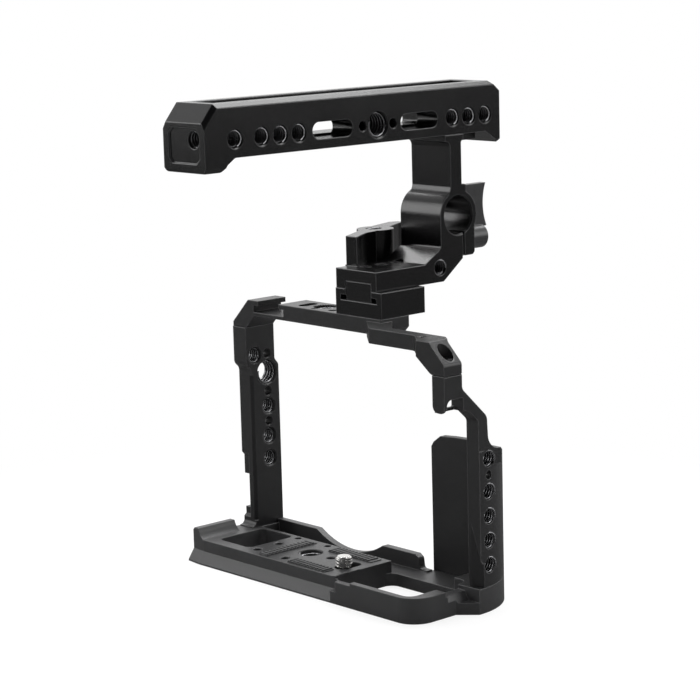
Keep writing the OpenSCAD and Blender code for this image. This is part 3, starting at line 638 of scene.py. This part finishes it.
@dataclass(frozen=True)
class ThreadRow:
    """A group of threads with one size and one direction.

    The ridge is a little narrower than the pitch and stands in a wall of the thread's
    radius. Sink is the plain stretch at each end.
    """

    name: str
    starts: Sequence[Point]
    axis: Axis
    length: float
    thread: Thread = QUARTER
    sink: float = 0.6
    finish: Steel = THREAD
    ridge_half: float = 0.6
    ridge_inset: float = 0.42

    def grow(self, tree: ThreadTree, wardrobe: Wardrobe) -> bpy.types.Mesh:
        """Grow the threads of the row.

        Args:
            tree: The thread tree.
            wardrobe: The materials.

        Returns:
            Their mesh.
        """
        run = self.length - 2 * self.sink
        step = self.axis.unit * self.sink
        values = {
            "Radius": (self.thread.radius - self.thread.depth * self.ridge_inset) * MM,
            "Depth": self.thread.depth * self.ridge_half * MM,
            "Length": run * MM,
            "Turns": run / self.thread.pitch,
            "Turned": self.axis.turn,
            "Finish": wardrobe.get(self.finish),
        }
        return tree.grow(self.name, [(Vector(p) + step) * MM for p in self.starts], values)


# ---------------------------------------------------------------- sub-assemblies


@dataclass
class Assembly:
    """A sub-assembly: finishes for its CAD nodes, and threads on one body."""

    wardrobe: Wardrobe
    tree: ThreadTree

    def finishes(self) -> dict[Finish, Sequence[str]]:
        """CAD nodes by finish."""
        return {}

    def rows(self) -> list[ThreadRow]:
        """Threads of the sub-assembly."""
        return []

    def carrier(self) -> tuple[Body, str]:
        """Body that the threads ride on, and a material slot name that is not used."""
        return Body.CAGE, CAGE.name

    def dress(self) -> None:
        """Give each CAD node its finish in all its slots."""
        for finish, nodes in self.finishes().items():
            for node in nodes:
                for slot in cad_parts[node].material_slots:
                    slot.material = self.wardrobe.get(finish)
                LOG.info("dressed %s in %s", node, finish.name)

    def add_threads(self) -> None:
        """Grow each row and put it into the scene as a piece."""
        body, slot = self.carrier()
        for row in self.rows():
            mesh = row.grow(self.tree, self.wardrobe)
            piece = bpy.data.objects.new(row.name, mesh)
            bpy.context.scene.collection.objects.link(piece)
            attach(piece, body.value)
            LOG.info("%s: %d faces on %s", row.name, len(mesh.polygons), body.value)

    def build(self) -> None:
        """Dress the nodes and add the threads."""
        self.dress()
        self.add_threads()


@dataclass
class Cage(Assembly):
    """Base, posts, top frame, grip plate and shoe block."""

    pitch: float = 9.525
    left_x: float = -55.0
    left_y: float = 20.0
    left_z: tuple[float, ...] = (60.8, 48.0, 38.5)
    left_top: Point = (-55.0, 13.3, 83.2)
    left_big: Point = (-55.0, 19.7, 75.2)
    post_hole: float = 8.0
    right_x: float = 79.4
    right_y: float = 14.4
    right_first_z: float = 59.5
    right_row_z: float = 46.8
    right_row: int = 4
    right_sink: float = 0.3
    base_t: float = 9.8
    plate_hole: Point = (-7.0, 18.0, 101.0)
    plate_t: float = 6.3

    def finishes(self) -> dict[Finish, Sequence[str]]:
        """List the finishes of the cage.

        Returns:
            CAD nodes by finish.
        """
        return {
            CAGE: ("base_plate",),
            TOP: ("left_post", "right_post", "top_frame"),
            GRIP: ("grip_plate",),
            GLOSS: ("shoe_block",),
            BLACK_STEEL: ("post_screws", "frame_screws", "shoe_screws", "grip_screws"),
            STEEL: ("frame_dowels",),
            RUBBER: ("base_pads",),
        }

    def rows(self) -> list[ThreadRow]:
        """List the threads of the posts, the platform and the top plate.

        Returns:
            One row for each size, direction and place.
        """
        left = [(self.left_x, self.left_y, z) for z in self.left_z]
        heights = [self.right_first_z] + [self.right_row_z - self.pitch * i for i in range(self.right_row)]
        right = [(self.right_x, self.right_y, z) for z in heights]
        return [
            ThreadRow("left_threads", left + [self.left_top], Axis.X, self.post_hole),
            ThreadRow("left_big_thread", [self.left_big], Axis.X, self.post_hole, THREE_EIGHTHS),
            ThreadRow("right_threads", right, Axis.X, self.post_hole, sink=self.right_sink),
            ThreadRow("tripod_thread", [(0.0, 0.0, 0.0)], Axis.Z, self.base_t, THREE_EIGHTHS),
            ThreadRow("plate_thread", [self.plate_hole], Axis.Z, self.plate_t, THREE_EIGHTHS),
        ]


@dataclass
class Handle(Assembly):
    """Handle bar, riser and the slider that runs in the shoe block."""

    bar_left: float = 8.5
    bar_width: float = 24.0
    hole_z: float = 182.4
    pitch: float = 9.05
    first_y: float = -58.1
    rear_row_y: float = -45.5
    front_row_y: float = 52.9
    row: int = 3
    big_hole: Point = (21.2, 12.7, 182.4)
    big_length: float = 11.2
    end_hole: Point = (25.5, -71.3, 182.7)
    end_length: float = 6.8
    top_x: float = 20.5
    top_z: float = 187.1
    top_y: tuple[float, ...] = (-51.9, -16.5, 34.6, 57.4)
    top_length: float = 6.0
    riser_hole: Point = (23.5, 44.5, 123.5)
    block_hole: Point = (0.8, 38.2, 128.4)
    riser_length: float = 9.0
    short_sink: float = 0.2

    def carrier(self) -> tuple[Body, str]:
        """Body that the threads ride on, and a material slot name that is not used."""
        return Body.HANDLE, GLOSS.name

    def finishes(self) -> dict[Finish, Sequence[str]]:
        """List the finishes of the handle.

        Returns:
            CAD nodes by finish.
        """
        return {
            GLOSS: ("handle_bar", "riser", "shoe_slider"),
            BLACK_STEEL: ("slider_screws", "riser_screws"),
            STEEL: ("riser_dowels",),
        }

    def rows(self) -> list[ThreadRow]:
        """List the threads of the bar, the riser and its tall block.

        Returns:
            One row for each size, direction and place.
        """
        places = [self.first_y]
        for start in (self.rear_row_y, self.front_row_y):
            places += [start + self.pitch * i for i in range(self.row)]
        side = [(self.bar_left, y, self.hole_z) for y in places]
        top = [(self.top_x, y, self.top_z) for y in self.top_y]
        short = {"sink": self.short_sink}
        return [
            ThreadRow("handle_threads", side, Axis.X, self.bar_width),
            ThreadRow("handle_big_thread", [self.big_hole], Axis.X, self.big_length, THREE_EIGHTHS),
            ThreadRow("handle_end_thread", [self.end_hole], Axis.Y, self.end_length, **short),
            ThreadRow("handle_top_threads", top, Axis.Z, self.top_length, **short),
            ThreadRow("riser_thread", [self.riser_hole], Axis.X, self.riser_length, **short),
            ThreadRow("block_thread", [self.block_hole], Axis.Z, self.riser_length, **short),
        ]


@dataclass
class CameraScrew(Assembly):
    """Bright screw that holds the camera, and its washer."""

    foot: Point = (25.7, -5.0, 9.9)
    length: float = 3.9
    sink: float = 0.35

    def carrier(self) -> tuple[Body, str]:
        """Body that the thread rides on, and a material slot name that is not used."""
        return Body.SCREW, NICKEL.name

    def finishes(self) -> dict[Finish, Sequence[str]]:
        """CAD nodes by finish."""
        return {STEEL: ("screw_carrier",), NICKEL: ("camera_screw",)}

    def rows(self) -> list[ThreadRow]:
        """List the thread of the screw's free end.

        Returns:
            One row.
        """
        name = "camera_screw_thread"
        free_end = (self.length, CAMERA_QUARTER, self.sink, NICKEL)
        return [ThreadRow(name, [self.foot], Axis.Z, *free_end)]


@dataclass
class ClampScrew(Assembly):
    """Wing screw that closes the rod ring."""

    def finishes(self) -> dict[Finish, Sequence[str]]:
        """CAD nodes by finish."""
        return {KNOB: ("wing_knob",), STEEL: ("clamp_stud", "clamp_washer")}


# ---------------------------------------------------------------- studio


@dataclass(frozen=True)
class Lamp:
    """Rectangular soft lamp, in metres and watts."""

    name: str
    place: Point
    size: tuple[float, float]
    watts: float

    def build(self, aim: Point) -> None:
        """Put the lamp into the scene.

        Args:
            aim: The point that it faces.
        """
        data = bpy.data.lights.new(self.name, "AREA")
        data.shape = "RECTANGLE"
        data.size, data.size_y = self.size
        data.energy = self.watts
        lamp = bpy.data.objects.new(self.name, data)
        bpy.context.scene.collection.objects.link(lamp)
        turn = (Vector(aim) - Vector(self.place)).to_track_quat("-Z", "Y")
        lamp.matrix_world = Matrix.Translation(self.place) @ turn.to_matrix().to_4x4()


LAMPS = (
    Lamp("top_box", (-0.25, 0.35, 1.2), (1.3, 0.9), 24),
    Lamp("side_box", (1.1, 0.9, 0.7), (0.5, 1.0), 6),
    Lamp("rear_box", (-1.0, -0.9, 0.6), (0.5, 0.9), 5),
)


@dataclass(frozen=True)
class PhotoCamera:
    """Camera of the photograph: focal length in pixels, angles in degrees, place in mm."""

    focal_px: float = 2262.0
    width_px: float = 700.0
    sensor: float = 36.0
    azimuth: float = 47.93
    elevation: float = 10.22
    roll: float = -1.52
    eye: Point = (667.48, -578.10, 251.43)
    clip_end: float = 50.0

    def build(self) -> None:
        """Place the camera where the photograph was taken."""
        scene = bpy.context.scene
        data = bpy.data.cameras.new("photo_camera")
        data.sensor_width = self.sensor
        data.lens = self.focal_px * self.sensor / self.width_px
        data.clip_end = self.clip_end
        camera = bpy.data.objects.new("photo_camera", data)
        scene.collection.objects.link(camera)
        az, el, roll = (math.radians(v) for v in (self.azimuth, self.elevation, self.roll))
        forward = Vector(
            (-math.sin(az) * math.cos(el), math.cos(az) * math.cos(el), -math.sin(el))
        )
        right = Vector((math.cos(az), math.sin(az), 0))
        up = right.cross(forward)
        turned_right = right * math.cos(roll) + up * math.sin(roll)
        turned_up = up * math.cos(roll) - right * math.sin(roll)
        basis = Matrix((turned_right, turned_up, -forward)).transposed()
        camera.matrix_world = Matrix.Translation(Vector(self.eye) * MM) @ basis.to_4x4()
        scene.camera = camera


@dataclass
class Studio:
    """Floor, surround and lamps. Lengths are in metres.

    To the camera the floor and the surround are white. The floor keeps a part of the
    object's shadow near its middle. In the object's gloss the floor is dark, and the
    surround is white on the far side and dark behind the camera.
    """

    middle: Point = (0.015, 0.0, 0.09)
    floor_half: float = 40.0
    floor_cells: int = 8
    floor_low: Colour = (0.9, 0.9, 0.9)
    floor_high: Colour = (0.94, 0.94, 0.94)
    floor_gloss: Colour = (0.05, 0.05, 0.05)
    gloss_glow: float = 0.12
    shadow_start: float = 0.1
    shadow_end: float = 0.26
    shadow_cover: float = 0.8
    tone_scale: float = 6.0
    surround: Colour = (0.5, 0.5, 0.5)
    far_side: Point = (-0.74, 0.67, 0.0)
    dark_from: float = -0.3
    bright_from: float = 0.6
    darkest: float = 0.03

    def floor(self) -> None:
        """Lay a wide pale floor that shows the object's shadow."""
        mesh = bpy.data.meshes.new("floor")
        made = bmesh.new()
        cells = self.floor_cells
        bmesh.ops.create_grid(made, x_segments=cells, y_segments=cells, size=self.floor_half)
        made.to_mesh(mesh)
        made.free()
        floor = bpy.data.objects.new("floor", mesh)
        bpy.context.scene.collection.objects.link(floor)
        s = Shade(bpy.data.materials.new("pale_floor"))
        rays = s.node("ShaderNodeLightPath")
        glossy = s.value(rays, "Is Glossy Ray")
        tone = s.blend(s.noise(self.tone_scale), self.floor_low, self.floor_high)
        colour = s.blend(glossy, tone, self.floor_gloss)
        matt = s.node("ShaderNodeBsdfDiffuse", None, {"Color": colour}).outputs[0]
        glow = s.node("ShaderNodeEmission", None, {"Color": WHITE, "Strength": 1.0}).outputs[0]
        length = s.node("ShaderNodeVectorMath", {"operation": "LENGTH"}, {0: s.place()})
        away = s.value(length, "Value")
        edges = (self.shadow_start, self.shadow_end)
        cover = s.ranged(away, *edges, self.shadow_cover, 1.0, "SMOOTHSTEP")
        seen = s.value(rays, "Is Camera Ray") + s.value(rays, "Is Transmission Ray")
        s.end(s.mixed((seen + glossy * self.gloss_glow) * cover, matt, glow))
        mesh.materials.append(s.owner)

    def world(self) -> None:
        """Surround the object with white, dimmer as a lamp than it looks."""
        world = bpy.data.worlds.new("studio")
        bpy.context.scene.world = world
        s = Shade(world)
        rays = s.node("ShaderNodeLightPath")
        seen = s.value(rays, "Is Camera Ray") + s.value(rays, "Is Transmission Ray")
        where = s.node("ShaderNodeTexCoord").outputs["Generated"]
        ways = {0: where, 1: self.far_side}
        along = s.node("ShaderNodeVectorMath", {"operation": "DOT_PRODUCT"}, ways)
        edges = (self.dark_from, self.bright_from)
        bright = s.ranged(s.value(along, "Value"), *edges, self.darkest, 1.0)
        lit, mirrored, white = (
            s.node("ShaderNodeBackground", None, {"Color": colour, "Strength": 1.0}).outputs[0]
            for colour in (self.surround, s.blend(bright, BLACK, WHITE), WHITE)
        )
        gleam = s.mixed(s.value(rays, "Is Glossy Ray"), lit, mirrored)
        s.end(s.mixed(seen, gleam, white), "ShaderNodeOutputWorld")

    def build(self) -> None:
        """Set up the floor, the surround and the lamps."""
        bpy.context.scene.view_settings.view_transform = "Standard"
        self.floor()
        self.world()
        for lamp in LAMPS:
            lamp.build(self.middle)


def main() -> None:
    """Build and dress the object, then the studio."""
    logging.basicConfig(level=logging.INFO, format="%(message)s")
    wardrobe = Wardrobe()
    tree = ThreadTree()
    for part in (Cage, Handle, CameraScrew, ClampScrew):
        part(wardrobe, tree).build()
    PhotoCamera().build()
    Studio().build()


if __name__ == "__main__":
    main()
